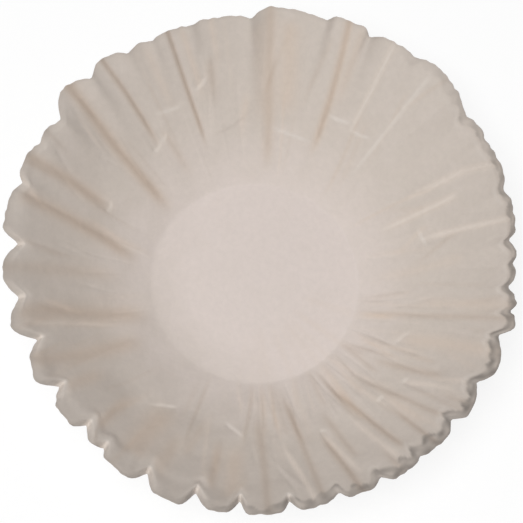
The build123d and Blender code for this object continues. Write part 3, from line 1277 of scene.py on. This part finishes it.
# The lines that run up the wall, as read: height, width and, where hard, how pale their painted
# highlight is.
CREASES = (
    Crease(GROOVE, ((357.8, 0.95), (359.0, 0.75), (360.2, 0.6)), 0.25, 1.2),
    Crease(STEP_IN, ((3.0, 0.6), (2.0, 0.35), (1.5, 0.15)), 0.2, 2.0),
    Crease(STEP_IN, ((9.0, 1.0), (10.5, 0.75), (12.5, 0.45)), 0.6, 1.1, 0.45),
    Crease(STEP_IN, ((20.5, 0.65), (21.5, 0.25)), 0.5, 1.6, 0.4),
    Crease(STEP_IN, ((22.0, 1.0), (25.0, 0.8), (27.0, 0.48)), 0.7, 1.1, 0.5),
    Crease(STEP_OUT, ((22.0, 0.45), (27.0, 0.3)), 0.15, 1.5),
    Crease(RIDGE, ((48.0, 0.9), (48.0, 0.3)), 0.6, 2.5, 0.35),
    Crease(STEP_OUT, ((58.5, 1.0), (57.8, 0.7), (57.5, 0.5)), 0.6, 1.2, 0.5),
    Crease(STEP_OUT, ((66.0, 0.95), (65.0, 0.6)), 0.3, 2.0),
    Crease(STEP_IN, ((69.5, 1.0), (67.5, 0.6), (66.5, 0.3)), 0.8, 1.5),
    Crease(STEP_OUT, ((82.0, 0.9), (80.0, 0.45)), 0.45, 4.0),
    Crease(STEP_IN, ((87.0, 1.0), (86.0, 0.6), (84.5, 0.15)), 0.5, 2.2),
    Crease(STEP_IN, ((89.5, 0.9), (88.5, 0.6), (88.0, 0.4)), 0.25, 3.0),
    Crease(STEP_OUT, ((93.0, 0.48), (95.0, 0.33)), 0.3, 1.5),
    Crease(STEP_OUT, ((100.5, 1.0), (100.3, 0.75)), 0.3, 1.3),
    Crease(STEP_IN, ((102.5, 0.72), (103.0, 0.55)), 0.35, 2.0),
    Crease(STEP_OUT, ((107.5, 0.95), (106.5, 0.6)), 0.35, 1.4),
    Crease(STEP_IN, ((111.0, 1.0), (110.5, 0.65), (109.8, 0.33)), 0.75, 1.0),
    Crease(STEP_OUT, ((117.0, 0.92), (116.5, 0.6)), 0.25, 1.8),
    Crease(STEP_IN, ((122.0, 0.42), (121.0, 0.2)), 0.3, 1.6),
    Crease(STEP_IN, ((127.5, 1.0), (126.5, 0.75), (126.0, 0.45)), 0.7, 1.3),
    Crease(STEP_IN, ((137.0, 1.0), (138.0, 0.6), (138.8, 0.12)), 0.8, 2.6),
    Crease(STEP_IN, ((156.5, 0.97), (155.5, 0.7), (155.5, 0.4)), 0.75, 2.8),
    Crease(STEP_IN, ((165.5, 0.92), (165.5, 0.6), (166.5, 0.35), (169.0, 0.15)), 0.75, 3.0),
    Crease(STEP_IN, ((184.0, 1.0), (182.0, 0.6), (180.0, 0.25)), 0.35, 3.0),
    Crease(STEP_IN, ((195.0, 0.92), (194.5, 0.65), (196.3, 0.35), (198.0, 0.1)), 0.65, 4.0),
    Crease(STEP_OUT, ((197.5, 0.85), (198.5, 0.55), (200.5, 0.3)), 0.35, 1.2, 0.2),
    Crease(STEP_IN, ((207.0, 0.95), (208.5, 0.6), (210.0, 0.2)), 0.6, 3.6),
    Crease(STEP_IN, ((215.5, 0.85), (216.0, 0.55)), 0.5, 3.0),
    Crease(STEP_OUT, ((228.0, 0.82), (227.5, 0.5)), 0.4, 2.5),
    Crease(STEP_IN, ((238.5, 0.8), (238.5, 0.4)), 0.6, 5.0),
    Crease(STEP_OUT, ((246.0, 0.85), (246.5, 0.55)), 0.45, 3.0),
    Crease(STEP_OUT, ((250.5, 0.6), (252.0, 0.35)), 0.3, 2.0),
    Crease(STEP_OUT, ((259.0, 0.8), (259.0, 0.5)), 0.5, 2.0),
    Crease(STEP_IN, ((264.5, 0.85), (264.0, 0.5)), 0.5, 3.5),
    Crease(STEP_OUT, ((272.5, 0.97), (272.3, 0.6), (271.0, 0.28)), 0.4, 1.8),
    Crease(STEP_IN, ((283.0, 0.92), (281.5, 0.7), (279.0, 0.5)), 0.4, 0.9, 0.2),
    Crease(STEP_OUT, ((285.0, 0.9), (284.7, 0.6), (284.0, 0.2)), 0.4, 1.5),
    Crease(STEP_OUT, ((293.3, 1.0), (293.0, 0.8), (291.5, 0.5)), 0.6, 1.6),
    Crease(STEP_IN, ((295.2, 0.8), (293.5, 0.6), (291.8, 0.45)), 0.25, 1.0, 0.15),
    Crease(STEP_OUT, ((296.5, 0.68), (295.5, 0.35)), 0.35, 1.6),
    Crease(STEP_OUT, ((303.0, 0.95), (303.0, 0.78)), 0.3, 1.4),
    Crease(STEP_IN, ((304.5, 0.85), (303.5, 0.65), (302.5, 0.48)), 0.3, 1.0, 0.15),
    Crease(STEP_OUT, ((307.0, 0.8), (306.0, 0.5), (304.5, 0.22)), 0.6, 1.5),
    Crease(STEP_OUT, ((312.5, 0.97), (313.3, 0.6)), 0.5, 1.2),
    Crease(STEP_IN, ((315.0, 0.75), (315.0, 0.5)), 0.2, 1.8),
    Crease(STEP_OUT, ((318.7, 0.88), (317.8, 0.6), (315.0, 0.28)), 0.4, 1.5),
    Crease(STEP_OUT, ((324.0, 0.97), (323.7, 0.8)), 0.3, 1.4),
    Crease(STEP_IN, ((325.8, 0.78), (324.0, 0.6), (322.0, 0.5)), 0.3, 0.9, 0.15),
    Crease(STEP_OUT, ((328.0, 0.65), (325.0, 0.28)), 0.4, 1.8),
    Crease(STEP_IN, ((337.5, 1.0), (337.5, 0.6), (336.0, 0.35)), 0.4, 3.0),
    Crease(STEP_OUT, ((345.7, 0.97), (345.5, 0.5), (345.0, 0.28), (343.5, 0.08)), 0.35, 1.5),
    Crease(STEP_IN, ((349.0, 0.95), (349.5, 0.6), (350.0, 0.4)), 0.3, 2.2),
)

# The lines across the wall, read where a flute ends on its way down.
BUCKLES = (
    Buckle((9.5, 0.435), (16.0, 0.41), 0.6, 0.01, 0.35),
    Buckle((50.5, 0.49), (57.5, 0.465), 0.45, 0.01, 0.35),
    Buckle((58.5, 0.5), (66.0, 0.485), 0.5, 0.01, 0.4),
    Buckle((69.0, 0.305), (84.0, 0.335), 0.5, 0.01, 0.35),
    Buckle((91.0, 0.44), (107.0, 0.33), -0.4, 0.04, 0.0),
    Buckle((104.0, 0.66), (108.0, 0.6), 0.7),
    Buckle((113.5, 0.545), (122.0, 0.565), 0.4),
    Buckle((121.5, 0.43), (125.0, 0.41), 0.4),
    Buckle((125.0, 0.4), (129.0, 0.38), 0.45),
    Buckle((153.0, 0.37), (157.5, 0.37), 0.4),
    Buckle((233.0, 0.42), (241.0, 0.33), 0.5),
    Buckle((259.0, 0.31), (266.0, 0.4), 0.5),
    Buckle((291.0, 0.44), (293.5, 0.45), 0.4),
    Buckle((312.0, 0.465), (315.0, 0.47), 0.6),
    Buckle((321.5, 0.5), (324.0, 0.52), 0.5),
    Buckle((333.5, 0.31), (339.0, 0.37), 0.5),
)


def main() -> None:
    """Build the filter and its studio, and report each piece."""
    logging.basicConfig(level=logging.INFO, format="%(name)s: %(message)s")
    design = FilterSheet()
    sheet = design.build()
    design.dress(sheet, FilterPaper())
    Studio().build()
    bpy.context.view_layer.update()


if __name__ == "__main__":
    main()
